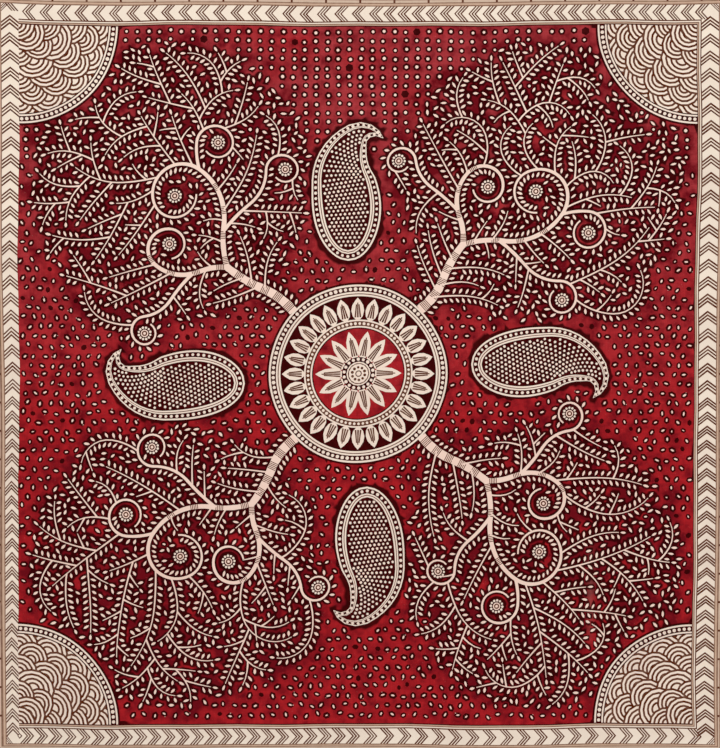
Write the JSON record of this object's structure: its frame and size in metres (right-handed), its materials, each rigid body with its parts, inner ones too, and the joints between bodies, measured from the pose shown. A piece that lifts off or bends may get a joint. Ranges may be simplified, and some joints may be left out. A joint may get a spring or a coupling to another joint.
{
  "type": "mata ni pachedi painted cotton cloth",
  "caption": "Nearly square cotton cloth with a turned hem, painted and printed in red, black and cream inside a chevron border, lying flat.",
  "frame": {"origin": "middle of the underside, where the cloth rests on the surface", "axes": "+Z out of the printed face, +Y towards the top of the design, +X to the right of someone reading it"},
  "size_m": [0.9248, 0.9618, 0.0021],
  "materials": {
    "printed_cotton": "matt plain-weave cotton, dyed red and black over cream"
  },
  "bodies": {
    "root": {"cloth": "printed_cotton"}
  },
  "joints": []
}
